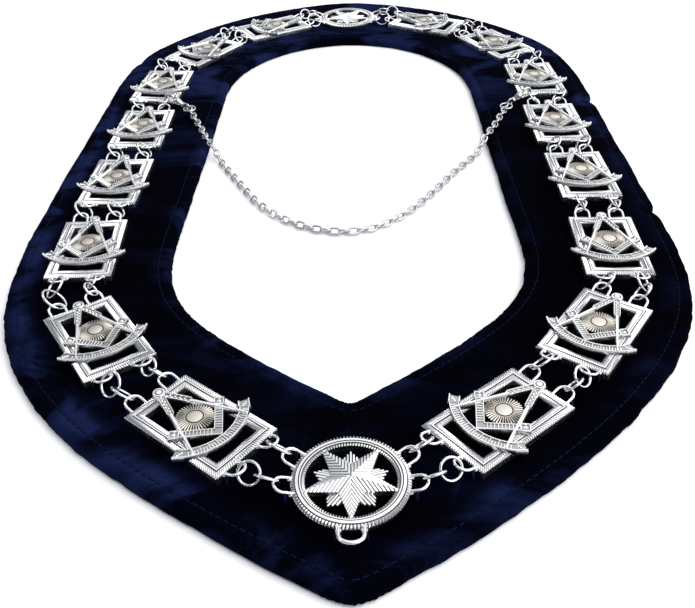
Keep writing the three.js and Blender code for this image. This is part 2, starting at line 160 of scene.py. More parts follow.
# Quadrant arc, with angles in degrees; a horn's tips have an angle and a place in half widths
ARC_CENTRE_Y = 7.9
ARC_RADIUS = 20.7
ARC_HALF = 1.8
ARC_TOP = 4.6
ARC_SPAN = 42
ARC_STEP = 3
ARC_TICKS = 14
ARC_TICK_START = 1.5
ARC_TICK_PITCH = 2.8
ARC_LONG_TICK = 0.72
ARC_SHORT_TICK = 0.45
ARC_LONG_EVERY = 3
ARC_TICK_HALF = 0.25
ARC_TICK_SINK = 0.05
HORN_TIPS = ((49.5, -1.3), (52, 1.05))
HORN_ROOT = 1.15
HORN_RISE = 0.1
HORN_PEARLS = ((44, -0.5), (46, 0.0), (48, 0.5))
HORN_PEARL_RADIUS = 0.45
HORN_PEARL_SINK = 0.55

# Sun disc and its boss, with painted shade between its rays
SUN_Y = 2.3
SUN_RADIUS = 6.6
SUN_TOP = 4.4
SUN_SINK = 0.8
SUN_RAYS = 38
SUN_SAMPLES = 6
SUN_ROOT = 0.35
SUN_REACHES = (SUN_ROOT, 0.5, 0.7, 0.85, 0.95, 1.0)
SUN_SCALLOP = 0.07
SUN_FALL = 0.25
SUN_GROOVE = 0.5
SUN_GROOVE_SLOPE = 2.5
SUN_SHADE = 1.9
SUN_BOSS = 3.2
BOSS_PROFILE = [
    (0.00, 3.80, 0), (3.45, 3.80, 0), (3.40, 4.40, 0), (3.25, 4.40, 0), (3.18, 4.00, 0),
    (2.78, 4.00, 0), (2.70, 4.45, 0), (1.76, 4.68, 0), (0.00, 4.74, 0),
]
BOSS_GROOVES = (4, 5)
BOSS_STEPS = 36

# Wire loops
LOOP_SIDE = 3.1
LOOP_REACH = 5.8
LOOP_WIRE = 0.55
LOOP_WIRE_SIDES = 10
LOOP_STRAIGHT = (-0.6, 0.8)
LOOP_BEND = 0.95
LOOP_BEND_STEPS = 8
LOOP_OFFSET = 7.5
LOOP_ROOT_DEPTH = 0.5
LOOP_ROOT_HEIGHT = 2.4
LOOP_SLOPE = math.radians(16)
LOOP_CROWN_SIDE = 2.7
LOOP_FOOT = 0.95
LOOP_FOOT_PLACE = 0.55

# Medallions: radius, height, and how deep the milling cuts, which also sets the painted shade in the teeth;
# loops stand at angles in degrees
MEDALLION_RADIUS = 18.9
RIM_PROFILE = [
    (18.35, 0.00, 0.0), (18.60, 1.60, 0.0), (19.00, 2.20, 0.5), (18.80, 2.75, 0.75),
    (18.25, 3.05, 0.75), (17.80, 3.05, 0.4), (17.65, 2.60, 0.0), (17.50, 2.60, 0.0),
    (17.35, 3.20, 0.0), (16.50, 3.30, 0.0), (16.40, 2.80, 0.0), (16.15, 2.80, 0.0),
    (16.05, 3.20, 0.0), (15.70, 3.20, 0.0), (15.60, 2.70, 0.0), (15.40, 2.70, 0.0),
    (15.25, 3.00, 0.5), (14.75, 3.00, 0.8), (14.42, 2.75, 0.8), (14.60, 0.00, 0.0),
]
RIM_GROOVES = (6, 7, 10, 11, 14, 15)
RIM_TEETH = 104
RIM_MIDDLE = 16.0
TOOTH_LEAN = 0.4
STAR_POINTS = 5
STAR_OUTER = 16.1
STAR_TURN = math.pi / STAR_POINTS
STAR_HALF = STAR_OUTER * math.sin(STAR_TURN)
STAR_TIP = STAR_OUTER * math.cos(STAR_TURN)
STAR_INNER = 6.5
STAR_BASE = 0.9
STAR_RIM = 3.0
STAR_APEX = 5.0
STAR_MIDDLE_RIB = 0.35
STAR_MIDDLE_SHADE = 0.7
RAY_OUTER = 12.2
RAY_START = 4.6
RAY_HALF = 2.6
RAY_TOP = 2.4
RAY_BASE = 1.0
RAY_SLOPE = 0.2
RAY_SIDE_FALL = 0.4
RAY_STEP = 1.05
RIB_PITCH = 0.98
RIB_DEPTH = 0.42
RIB_SAMPLES = 8
FRONT_LOOPS = {"inner": 27, "outer": -6}
BACK_LOOPS = {"inner": -22, "outer": 12}
PENDANT_LOOP = -90
PENDANT_SCALE = 1.25

# Jump rings
RING_RADIUS = 4.5
RING_WIRE = 0.5
RING_CAD_WIRE = 0.42
RING_STEPS = 44
RING_SIDES = 12
RING_PAST_CROWN = 1.6
RING_STEEPEST = math.radians(50)
SINGLE_RING_SPAN = 8.0
PAIR_OVERLAP = 1.5
FRONT_OUTER_SHOULDER = 0.6

# Velvet band: inset from the edge and height, the same on both edges
VELVET_ROLL = [
    (1.9, 0.0), (0.6, 0.3), (0.05, 1.2), (0.0, 2.4), (0.35, 3.6), (1.1, 4.4), (2.3, 4.9),
    (3.9, 5.0), (4.8, 4.75), (5.4, 4.5), (6.0, 4.75), (6.9, 5.0),
]
VELVET_STATIONS = 720
VELVET_COLUMNS = 22
VELVET_CROWN = 0.12
VELVET_CLEAR = 0.1
VELVET_CREASE = 0.55
CREASE_HALF = 0.09

# Waves in the velvet: height, waves in the whole round, and their own layer of noise
EDGE_WAVE = (0.45, 60, 0.0)
EDGE_FUZZ = (0.45, 310, 5.0)
RIGHT_WAVE = (0.7, 95, 0.0)
CREASE_WAVE = (1.0, 46, 2.0)
SWELL_WAVE = (0.12, 30, 7.0)
OUTER_ROW = 3.0
INNER_ROW = 9.0
RIGHT_ROW = 15.0
CREASE_SLANT = 0.9
SWELL_SLANT = 2.2

# Notches in the outer edge: place and depth; drifts of the band to the left: place, most and reach
EDGE_NOTCHES = [
    (Vector((141.4, 70.5)), 3.2),
    (Vector((142.4, -52.5)), 2.6),
    (Vector((-135.4, 144.6)), 1.6),
]
NOTCH_REACH = 9.0
EDGE_DRIFTS = [
    (Vector((-142, -50)), 2.5, 150),
    (Vector((-95, -190)), 3.0, 100),
    (Vector((95, -190)), 2.6, 100),
]

# Painted sheen on the pile, which lightens it to navy: where each part of the band starts and over what
# length it grows, then its strengths
PAINTED_SHEEN_LEFT = (20, 60)
PAINTED_SHEEN_RIGHT = (40, 60)
PAINTED_SHEEN_NAPE = (-100, 240)
PAINTED_SHEEN_NAPE_LATER = 80
PAINTED_SHEEN_FRONT = (110, 90)
PAINTED_SHEEN_ALL = 0.2
PAINTED_SHEEN_LEFT_GAIN = 0.9
PAINTED_SHEEN_NAPE_GAIN = 1.7
PAINTED_SHEEN_RIGHT_NAPE_GAIN = 0.9
PAINTED_SHEEN_FRONT_GAIN = 0.95
PAINTED_SHEEN_RIGHT_FRONT_LOSS = 0.8
PAINTED_SHEEN_LEAST = 0.12
PAINTED_SHEEN_NAPE_LEAST = 0.5
PAINTED_SHEEN_SEAM = 1.2
PAINTED_SHEEN_EDGE_LOSS = 0.6
PAINTED_SHEEN_REACH = 5.0
PAINTED_SHEEN_FAR_EDGE = 0.8
PAINTED_SHEEN_FAR_REACH = 8.0
PAINTED_SHEEN_FOLD = 0.45

# Stitches along the seams, and tacks over the feet of the loops
STITCH_INSET = 5.4
STITCH_HEIGHT = 4.72
STITCH_PITCH = 3.1
STITCH_LENGTH = 2.3
STITCH_RADIUS = 0.3
STITCH_SIDES = 5
STITCH_SAMPLES = 8
STITCH_DIPS = ((0.0, 0.45), (0.25, 0.0), (0.75, 0.0), (1.0, 0.45))
TACK_STRANDS = (1.5, 2.05)
TACK_SINK = 0.4
TACK_RISE = 3.7
TACK_HALF = 1.05
TACK_RADIUS = 0.27
TACK_SIDES = 6
TACK_STEPS = 8

# Clasps: distance from the ring that is hooked and height, or distance back from the far end
CLASP_HOOK_TURNS = range(25, 278, 18)
CLASP_HOOK_MIDDLE = 1.4
CLASP_HOOK_REACH = 2.9
CLASP_HOOK_RISE = 2.3
CLASP_HOOK_WIRE = 0.75
CLASP_SHANK = ((4.6, -1.75), (7.2, -1.1))
CLASP_BODY = ((4.2, 1.0), (6.0, 0.6), (8.0, 0.0))
CLASP_BODY_BACK = 3.6
CLASP_BODY_STEP = 0.6
CLASP_NECK = 1.0
CLASP_BELLY = 1.1
CLASP_BELLY_LEAN = 0.75
CLASP_GATE = ((3.6, 1.5), (4.6, 2.2), (5.6, 2.5))
CLASP_GATE_WIRE = 0.5
CLASP_COLLAR_BACK = (4.2, 3.2)
CLASP_COLLAR_RADIUS = 1.7
CLASP_EYE_BACK = 1.7
CLASP_EYE_RADIUS = 1.6
CLASP_EYE_WIRE = 0.55
CLASP_EYE_STEPS = 20
CLASP_EYE_HOLD = 0.4

# Cross chain, its route repeated from the part's source; the links lean by turns, in degrees
CHAIN_ROUTE = [
    (-80, 38, 6.8), (-76.5, 28, 6.8), (-72.4, 20.5, 6.3), (-69, 14.5, 3.4), (-66, 8, 1.7),
    (-53.5, -16.5, 1.7), (-42, -37, 1.7), (-26, -53, 1.7), (-8, -61, 1.7), (10, -59, 1.7),
    (27, -46, 1.7), (41, -27, 1.7), (53.8, -6.4, 1.7), (66, 11, 1.7), (69, 16.5, 3.4),
    (72.4, 22.5, 6.3), (76.5, 30, 6.8), (80, 37.5, 6.8),
]
CHAIN_PITCH = 4.3
CHAIN_LINK_LENGTH = 5.9
CHAIN_LINK_WIDTH = 4.0
CHAIN_LINK_STEPS = 24
CHAIN_WIRE = 0.55
CHAIN_WIRE_SIDES = 8
CHAIN_LIFT = 0.2
CHAIN_LEANS = (38, -52)
END_RING_RADIUS = 3.2
END_RING_INSET = 0.6
END_RING_LIFT = 0.4


class Form:
    """Points and faces of one piece, with a finish for each face and an amount of painted light for each
    point: painted shade in the metal, painted sheen in the velvet.
    """

    def __init__(self):
        self.points = []
        self.painted_light = []
        self.faces = []
        self.finish = []

    def grid(self, rows, loop=False, ring=False, caps=False, finish=0, painted_light=None):
        """Quads between rows of points; loop joins the last row to the first, ring closes each row."""
        start = len(self.points)
        width = len(rows[0])
        for i, row in enumerate(rows):
            self.points.extend(row)
            self.painted_light.extend(painted_light[i] if painted_light else [0.0] * width)
        for i in range(len(rows) if loop else len(rows) - 1):
            here = start + i * width
            there = start + (i + 1) % len(rows) * width
            for j in range(width if ring else width - 1):
                k = (j + 1) % width
                self.faces.append((here + j, here + k, there + k, there + j))
        if caps:
            last = start + (len(rows) - 1) * width
            self.faces += [tuple(range(first, first + width)) for first in (start, last)]
        self.finish.extend([finish] * (len(self.faces) - len(self.finish)))

    def add(self, other, matrix=Matrix.Identity(4)):
        start = len(self.points)
        self.points.extend(matrix @ point for point in other.points)
        self.painted_light.extend(other.painted_light)
        self.finish.extend(other.finish)
        self.faces.extend(tuple(start + corner for corner in face) for face in other.faces)

    def add_mirrored(self, other):
        self.add(other)
        self.add(other, Matrix.Scale(-1, 4, Vector((1, 0, 0))))


# Shapes that several pieces use


def flat(x, y, height=0.0):
    return Vector((x, y, height))


def seated(middle, turn=0.0, height=0.0):
    """The place of a thing that stands at a point and is turned about the upright axis."""
    return Matrix.Translation(flat(middle.x, middle.y, height)) @ Matrix.Rotation(turn, 4, "Z")


def circle(steps):
    """Evenly spaced places on a circle of radius 1."""
    turns = [2 * math.pi * k / steps for k in range(steps)]
    return [(math.cos(turn), math.sin(turn)) for turn in turns]


def tube(form, path, radius, sides, loop=False):
    """A round wire along a path of points; `radius` is one number or one for each point."""
    radii = radius if isinstance(radius, list) else [radius] * len(path)
    rows = []
    normal = None
    for i, point in enumerate(path):
        before = path[i - 1] if loop or i > 0 else point
        after = path[(i + 1) % len(path)] if loop or i < len(path) - 1 else point
        tangent = (after - before).normalized()
        normal = normal or tangent.orthogonal().normalized()
        normal = (normal - tangent * normal.dot(tangent)).normalized()
        beside = tangent.cross(normal)
        rows.append([point + (normal * x + beside * y) * radii[i] for x, y in circle(sides)])
    form.grid(rows, loop=loop, ring=True, caps=not loop)


def ribbon(form, stations, profile, top, base=EMBLEM_BASE):
    """A bar through stations of middle, sideways direction and half width."""
    rows = []
    for middle, beside, half in stations:
        row = []
        for share, rise, _ in profile:
            spot = middle + beside * (share * half)
            row.append(flat(spot.x, spot.y, base + rise * (top - base)))
        rows.append(row)
    # The profile's third column is painted shade along the bar
    marks = [[painted_light for _, _, painted_light in profile]] * len(rows)
    form.grid(rows, ring=True, caps=True, painted_light=marks)


def tick(form, middle, along, half_length, half_width, low, high):
    """A small raised bar."""
    beside = Vector((-along.y, along.x))
    stations = [(middle + along * end, beside, half_width) for end in (-half_length, half_length)]
    ribbon(form, stations, PLAIN, high, low)


def pearl(form, centre, radius, sides=8):
    """A small dome."""
    rows = []
    for lift in PEARL_LIFTS:
        reach = radius * math.sqrt(1 - lift * lift)
        rows.append([centre + flat(reach * x, reach * y, radius * lift) for x, y in circle(sides)])
    form.grid(rows, ring=True, caps=True)


def milling_marks(profile, grooves, cut):
    """How much painted shade each point of a milled profile gets: full in its grooves, and by the cut in
    its teeth.
    """
    return [1.0 if i in grooves else MILL_SHADE * tooth * cut for i, (_, _, tooth) in enumerate(profile)]


def turned_form(form, profile, steps, grooves, milled=False, finish=0):
    """A round form about the upright axis."""
    rows = []
    marks = []
    for i, (x, y) in enumerate(circle(steps)):
        cut = MILL_WAVE[i % len(MILL_WAVE)] if milled else 0.0
        row = []
        for radius, height, tooth in profile:
            lean = TOOTH_LEAN if radius > RIM_MIDDLE else -TOOTH_LEAN
            reach = radius - lean * tooth * cut
            row.append(flat(reach * x, reach * y, height - tooth * cut))
        rows.append(row)
        marks.append(milling_marks(profile, grooves, cut))
    form.grid(rows, loop=True, ring=True, finish=finish, painted_light=marks)


def smooth_loop(points, place):
    """A point on the smooth closed curve through `points`; whole numbers are the points themselves."""
    count = len(points)
    i = math.floor(place)
    share = place - i
    a, b, c, d = (points[(i + k) % count] for k in (-1, 0, 1, 2))
    straight = (c - a) * share
    bend = (a * 2 - b * 5 + c * 4 - d) * share ** 2
    twist = (b * 3 - a - c * 3 + d) * share ** 3
    return b + (straight + bend + twist) / 2


def smooth_path(points, step):
    """Evenly spaced points on the smooth open curve through `points`."""
    padded = [points[0] * 2 - points[1], *points, points[-1] * 2 - points[-2]]
    steps = PATH_SAMPLES * (len(points) - 1)
    fine = [smooth_loop(padded, 1 + k / PATH_SAMPLES) for k in range(steps + 1)]
    path = [fine[0]]
    spare = 0.0
    for before, after in zip(fine, fine[1:]):
        stretch = (after - before).length
        while spare + stretch >= step:
            before = before.lerp(after, (step - spare) / stretch)
            stretch = (after - before).length
            spare = 0.0
            path.append(before)
        spare += stretch
    return path


# Places, read from the frame


def level_points(node, height=None):
    """The node's own corners at its lowest height, or at the height given, each once."""
    points = [vertex.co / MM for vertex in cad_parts[node].data.vertices]
    level = min(point.z for point in points) if height is None else height
    spots = {(round(p.x, 2), round(p.y, 2)) for p in points if abs(p.z - level) < LEVEL_SLACK}
    return [Vector(spot) for spot in sorted(spots)]


def middle_of(points):
    total = Vector((0, 0))
    for point in points:
        total += point
    return total / len(points)


def plate_pose(node, heading):
    """The plate's middle and its turn from the nape direction."""
    corners = level_points(node)
    middle = middle_of(corners)
    outer = sorted(corners, key=lambda corner: -(corner - middle).length)[:4]
    head = sorted(outer, key=lambda corner: -(corner - middle).dot(heading))[:2]
    ahead = middle_of(head) - middle
    return middle, math.atan2(-ahead.x, ahead.y)


def side_poses(side):
    plates = [f"plate_{side}_{i + 1}" for i in range(PLATES_A_SIDE)]
    nodes = ["medallion_front", *plates, "medallion_back"]
    middles = [middle_of(level_points(node)) for node in nodes]
    poses = []
    for i, node in enumerate(nodes[1:-1], start=1):
        poses.append(plate_pose(node, middles[i + 1] - middles[i - 1]))
    return poses


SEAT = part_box("plate_left_1")[0].z / MM
CROWN_REACH = LOOP_REACH * math.cos(LOOP_SLOPE) - LOOP_ROOT_DEPTH
CROWN_HEIGHT = SEAT + LOOP_ROOT_HEIGHT + LOOP_REACH * math.sin(LOOP_SLOPE)
RING_DIP = CROWN_HEIGHT - SEAT - RING_CAD_WIRE
POSES = {side: side_poses(side) for side in SIDES}
FRONT_MIDDLE = middle_of(level_points("medallion_front"))
BACK_MIDDLE = middle_of(level_points("medallion_back"))


# Finishes


def set_values(made, **values):
    for name, value in values.items():
        made.inputs[name.replace("_", " ")].default_value = value
    return made


def shader_node(tree, kind, **values):
    return set_values(tree.nodes.new(kind), **values)


def mix_colours(tree, share, first, second):
    """A colour mix; each of the three may be a socket or a plain value."""
    mix = tree.nodes.new("ShaderNodeMix")
    mix.data_type = "RGBA"
    for place, value in ((0, share), (6, first), (7, second)):
        if isinstance(value, bpy.types.NodeSocket):
            tree.links.new(value, mix.inputs[place])
        else:
            mix.inputs[place].default_value = value
    return mix.outputs[2]


def ranged(tree, value, low, high, new_low, new_high):
    limits = {"From_Min": low, "From_Max": high, "To_Min": new_low, "To_Max": new_high}
    span = shader_node(tree, "ShaderNodeMapRange", **limits)
    tree.links.new(value, span.inputs["Value"])
    return span.outputs["Result"]


def combined(tree, operation, first, second):
    made = tree.nodes.new("ShaderNodeMath")
    made.operation = operation
    tree.links.new(first, made.inputs[0])
    tree.links.new(second, made.inputs[1])
    return made.outputs[0]


def surface_noise(tree, stretch=None, **values):
    """Noise that is fixed to the piece; `stretch` squeezes it along the three axes."""
    place = tree.nodes.new("ShaderNodeTexCoord").outputs["Object"]
    if stretch:
        mapping = shader_node(tree, "ShaderNodeMapping", Scale=stretch)
        tree.links.new(place, mapping.inputs["Vector"])
        place = mapping.outputs["Vector"]
    made = shader_node(tree, "ShaderNodeTexNoise", **values)
    tree.links.new(place, made.inputs["Vector"])
    return made.outputs["Fac"]


def piece_marks(tree):
    """The painted light of each point: painted shade that darkens the silver in the metal, painted sheen
    that lightens the pile in the velvet.
    """
    marks = tree.nodes.new("ShaderNodeAttribute")
    marks.attribute_name = "painted_light"
    return marks.outputs["Fac"]


def new_group(name, inputs, outputs):
    group = bpy.data.node_groups.new(name, "ShaderNodeTree")
    for way, sockets in (("INPUT", inputs), ("OUTPUT", outputs)):
        for socket, kind in sockets.items():
            group.interface.new_socket(name=socket, in_out=way, socket_type=f"NodeSocket{kind}")
    return group, group.nodes.new("NodeGroupInput"), group.nodes.new("NodeGroupOutput")


def placed_group(tree, group, **values):
    placed = tree.nodes.new("ShaderNodeGroup")
    placed.node_tree = group
    return set_values(placed, **values)


def silver_wear_and_shade_group():
    """Silver plate: bright on open faces, with painted shade in the recesses, and handling marks."""
    inputs = {"Bright": "Color", "Dark": "Color", "Painted Shade": "Float", "Gloss": "Float"}
    outputs = {"Color": "Color", "Roughness": "Float", "Height": "Float"}
    group, given, result = new_group("silver_wear_and_painted_shade", inputs, outputs)
    smudge = surface_noise(group, Scale=170.0, Detail=4.0, Roughness=0.6)
    grain = surface_noise(group, Scale=2600.0, Detail=3.0, Roughness=0.6)
    tone = ranged(group, smudge, 0.3, 0.7, 0.0, 0.22)
    worn = mix_colours(group, tone, given.outputs["Bright"], DULL_SILVER)
    # Painted shade: the dark colour goes where a point is marked as recessed
    depth = ranged(group, given.outputs["Painted Shade"], 0.0, 1.0, 0.0, 0.92)
    colour = mix_colours(group, depth, worn, given.outputs["Dark"])
    haze = ranged(group, smudge, 0.3, 0.75, 0.0, 0.12)
    rough = combined(group, "ADD", given.outputs["Gloss"], haze)
    group.links.new(colour, result.inputs["Color"])
    group.links.new(rough, result.inputs["Roughness"])
    group.links.new(grain, result.inputs["Height"])
    return group


def twist_group():
    """Sewing thread: light on its strands and dark between them."""
    inputs = {"Light": "Color", "Dark": "Color"}
    group, given, result = new_group("thread_twist", inputs, {"Color": "Color", "Height": "Float"})
    twist = surface_noise(group, Scale=3200.0, Detail=2.0)
    colour = mix_colours(group, twist, given.outputs["Dark"], given.outputs["Light"])
    group.links.new(colour, result.inputs["Color"])
    group.links.new(twist, result.inputs["Height"])
    return group


def new_material(name):
    material = bpy.data.materials.new(name)
    material.use_nodes = True
    tree = material.node_tree
    return material, tree, tree.nodes["Principled BSDF"]


def bump_into(tree, shader, height, strength, distance):
    bump = shader_node(tree, "ShaderNodeBump", Strength=strength, Distance=distance)
    tree.links.new(height, bump.inputs["Height"])
    tree.links.new(bump.outputs["Normal"], shader.inputs["Normal"])


def silver(name, bright, dark, gloss):
    material, tree, shader = new_material(name)
    wear_and_shade = placed_group(tree, SILVER_WEAR_AND_SHADE, Bright=(*bright, 1), Dark=(*dark, 1), Gloss=gloss)
    tree.links.new(piece_marks(tree), wear_and_shade.inputs["Painted Shade"])
    tree.links.new(wear_and_shade.outputs["Color"], shader.inputs["Base Color"])
    tree.links.new(wear_and_shade.outputs["Roughness"], shader.inputs["Roughness"])
    set_values(shader, Metallic=1.0)
    bump_into(tree, shader, wear_and_shade.outputs["Height"], 0.25, SILVER_GRAIN * MM)
    return material


def velvet_pile():
    """Brushed pile: nearly black, with navy patches where the nap lies the other way, made brighter by a
    painted sheen that is strongest along the seams, the far edge, the creases and towards the nape.
    """
    material, tree, shader = new_material("velvet_pile")
    brushed = surface_noise(tree, (0.75, 1.3, 1.0), Scale=26.0, Detail=5.0, Roughness=0.62, Distortion=0.9)
    pile = surface_noise(tree, Scale=2400.0, Detail=2.0, Roughness=0.7)
    patch = ranged(tree, brushed, 0.46, 0.68, 0.04, 1.0)
    # Painted sheen: the marks on each point, times the nap patches, decide how much navy shows
    nap_and_sheen_share = combined(tree, "MULTIPLY", patch, piece_marks(tree))
    nap_and_sheen_colour = mix_colours(tree, nap_and_sheen_share, DARK_PILE, PILE_NAP_AND_SHEEN)
    speck = ranged(tree, pile, 0.35, 0.7, 0.0, 0.55)
    colour = mix_colours(tree, speck, nap_and_sheen_colour, PILE_GAPS)
    tree.links.new(colour, shader.inputs["Base Color"])
    set_values(shader, Roughness=1.0, Specular_IOR_Level=0.008)
    set_values(shader, Sheen_Weight=0.04, Sheen_Roughness=0.35, Sheen_Tint=PILE_SHEEN)
    bump_into(tree, shader, pile, 0.6, PILE_GRAIN * MM)
    return material


def sewing_thread(name, colour, gloss):
    material, tree, shader = new_material(name)
    dark = [THREAD_SHADE * part for part in colour]
    twist = placed_group(tree, TWIST, Light=(*colour, 1), Dark=(*dark, 1))
    tree.links.new(twist.outputs["Color"], shader.inputs["Base Color"])
    set_values(shader, Roughness=0.85, Specular_IOR_Level=gloss)
    bump_into(tree, shader, twist.outputs["Height"], 0.5, THREAD_GRAIN * MM)
    return material


def pale_floor():
    material, tree, shader = new_material("pale_floor")
    mottle = surface_noise(tree, Scale=4.0, Detail=3.0)
    tree.links.new(mix_colours(tree, mottle, *PALE_FLOOR), shader.inputs["Base Color"])
    set_values(shader, Roughness=0.75)
    return material


SILVER_WEAR_AND_SHADE = silver_wear_and_shade_group()
TWIST = twist_group()
# The second colour of each silver is the painted shade in its recesses
PLATE_SILVER = silver("plate_silver", (0.93, 0.93, 0.92), (0.05, 0.05, 0.055), 0.2)
# The sun's silver is darker and warmer than the plate silver: a painted warm reflection
SUN_REFLECTION_SILVER = silver("sun_silver_painted_reflection", (0.66, 0.615, 0.53), (0.05, 0.04, 0.03), 0.26)
RING_SILVER = silver("ring_silver", (0.76, 0.76, 0.77), (0.08, 0.08, 0.08), 0.1)
CHAIN_SILVER = silver("chain_silver", (0.50, 0.50, 0.51), (0.08, 0.08, 0.08), 0.12)
VELVET = velvet_pile()
STITCH_THREAD = sewing_thread("stitch_thread", (0.006, 0.008, 0.028), 0.03)
TACK_THREAD = sewing_thread("tack_thread", (0.007, 0.011, 0.055), 0.1)


# Making pieces


def mesh_of(name, form, materials, crease=METAL_EDGE):
    mesh = bpy.data.meshes.new(name)
    mesh.from_pydata([point * MM for point in form.points], [], form.faces)
    # Each point's painted light, shade in the metal and sheen in the velvet, goes to the shaders as an
    # attribute
    mesh.attributes.new("painted_light", "FLOAT", "POINT").data.foreach_set("value", form.painted_light)
    for material in materials:
        mesh.materials.append(material)
    mesh.polygons.foreach_set("material_index", form.finish)
    work = bmesh.new()
    work.from_mesh(mesh)
    bmesh.ops.remove_doubles(work, verts=work.verts, dist=WELD_REACH * MM)
    bmesh.ops.recalc_face_normals(work, faces=work.faces)
    work.to_mesh(mesh)
    work.free()
    mesh.polygons.foreach_set("use_smooth", [True] * len(mesh.polygons))
    mesh.set_sharp_from_angle(angle=math.radians(crease))
    return mesh


def place_piece(mesh, nodes=(), matrix=None, name=None):
    piece = bpy.data.objects.new(name or mesh.name, mesh)
    bpy.context.scene.collection.objects.link(piece)
    if matrix:
        piece.matrix_world = matrix
    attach(piece, "root")
    if nodes:
        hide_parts(*nodes)
    return piece


# Plates


def milled_frame(form):
    corners = [Vector(corner) for corner in ((1, 1), (-1, 1), (-1, -1), (1, -1))]
    rows = []
    marks = []
    for here, there in zip(corners, corners[1:] + corners[:1]):
        length = PLATE_WIDTH if here.y == there.y else PLATE_LENGTH
        steps = len(MILL_WAVE) * round(length / MILL_STEP / len(MILL_WAVE))
        for k in range(steps):
            cut = MILL_WAVE[k % len(MILL_WAVE)]
            spot = here.lerp(there, k / steps)
            row = []
            for inset, height, tooth in FRAME_PROFILE:
                x = spot.x * (PLATE_WIDTH / 2 - inset)
                y = spot.y * (PLATE_LENGTH / 2 - inset)
                row.append(flat(x, y, height - tooth * cut))
            rows.append(row)
            marks.append(milling_marks(FRAME_PROFILE, FRAME_GROOVES, cut))
    form.grid(rows, loop=True, ring=True, painted_light=marks)


def compasses(form):
    along = (LEG_TIP - HINGE).normalized()
    beside = Vector((along.y, -along.x))
    leg = Form()
    for stations, profile, top in ((LEG_UPPER, BORDERED, LEG_TOP), (LEG_LOWER, PLAIN, LEG_LOWER_TOP)):
        ribbon(leg, [(HINGE + along * at, beside, half) for at, half in stations], profile, top)
    for k in range(LEG_PEARLS):
        at = LEG_PEARL_START + LEG_PEARL_PITCH * k
        spot = HINGE + along * at + beside * (LEG_PEARL_SIDE * (-1) ** k)
        pearl(leg, flat(spot.x, spot.y, LEG_TOP - LEG_PEARL_SINK), LEG_PEARL_RADIUS, sides=6)
    form.add_mirrored(leg)
    boss = Form()
    turned_form(boss, HINGE_PROFILE, HINGE_STEPS, HINGE_GROOVES)
    form.add(boss, Matrix.Translation(flat(HINGE.x, HINGE.y, EMBLEM_BASE)))


def try_square(form):
    arm = Form()
    diagonal = math.sqrt(0.5)
    along = Vector((diagonal, diagonal))
    beside = Vector((diagonal, -diagonal))
    start = Vector((0, SQUARE_APEX_Y + SQUARE_HALF / diagonal))
    mitre = (start, Vector((0, -1)), SQUARE_HALF / diagonal)
    ribbon(arm, [mitre, (start + along * BLOCK_START, beside, SQUARE_HALF)], BORDERED, SQUARE_TOP)
    block = [(start + along * at, beside, BLOCK_HALF) for at in (BLOCK_START, BLOCK_END)]
    block_top = SQUARE_TOP + BLOCK_RISE
    ribbon(arm, block, BORDERED, block_top)
    low = SQUARE_TOP - TICK_DEPTH
    for at in (BLOCK_START + BLOCK_BORDER, BLOCK_END - BLOCK_BORDER):
        tick(arm, start + along * at, beside, BLOCK_HALF * BLOCK_BORDER_SHARE, BLOCK_BORDER, low, block_top)
    spot = start + along * ((BLOCK_START + BLOCK_END) / 2)
    pearl(arm, flat(spot.x, spot.y, SQUARE_TOP - BLOCK_PEARL_SINK), BLOCK_PEARL_RADIUS)
    half = SQUARE_HALF * SQUARE_TICK_SHARE
    for k in range(SQUARE_TICKS):
        middle = start + along * (SQUARE_TICK_START + SQUARE_TICK_PITCH * k)
        tick(arm, middle, beside, half, SQUARE_TICK_HALF, low, SQUARE_TOP - SQUARE_TICK_SINK)
    form.add_mirrored(arm)


def spoke(degrees):
    turn = math.radians(degrees)
    return Vector((math.sin(turn), -math.cos(turn)))


def arc_spot(degrees, past=0.0):
    """A point by its angle from the arc's lowest point, and how far it lies past the arc's middle line."""
    return Vector((0, ARC_CENTRE_Y)) + spoke(degrees) * (ARC_RADIUS + past)


def quadrant_arc(form):
    half_arc = Form()
    stations = [(arc_spot(angle), spoke(angle), ARC_HALF) for angle in range(0, ARC_SPAN + 1, ARC_STEP)]
    ribbon(half_arc, stations, BORDERED, ARC_TOP)
    inner_tip, outer_tip = (arc_spot(angle, ARC_HALF * side) for angle, side in HORN_TIPS)
    reach = outer_tip - inner_tip
    horn = [
        (arc_spot(ARC_SPAN), spoke(ARC_SPAN), ARC_HALF * HORN_ROOT),
        ((inner_tip + outer_tip) / 2, reach.normalized(), reach.length / 2),
    ]
    ribbon(half_arc, horn, BORDERED, ARC_TOP + HORN_RISE)
    for angle, side in HORN_PEARLS:
        spot = arc_spot(angle, side)
        pearl(half_arc, flat(spot.x, spot.y, ARC_TOP - HORN_PEARL_SINK), HORN_PEARL_RADIUS, sides=6)
    for k in range(ARC_TICKS):
        angle = ARC_TICK_START + ARC_TICK_PITCH * k
        share = ARC_SHORT_TICK if k % ARC_LONG_EVERY else ARC_LONG_TICK
        middle = arc_spot(angle, ARC_HALF * (ARC_LONG_TICK - share))
        low = ARC_TOP - TICK_DEPTH
        tick(half_arc, middle, spoke(angle), ARC_HALF * share, ARC_TICK_HALF, low, ARC_TOP - ARC_TICK_SINK)
    form.add_mirrored(half_arc)


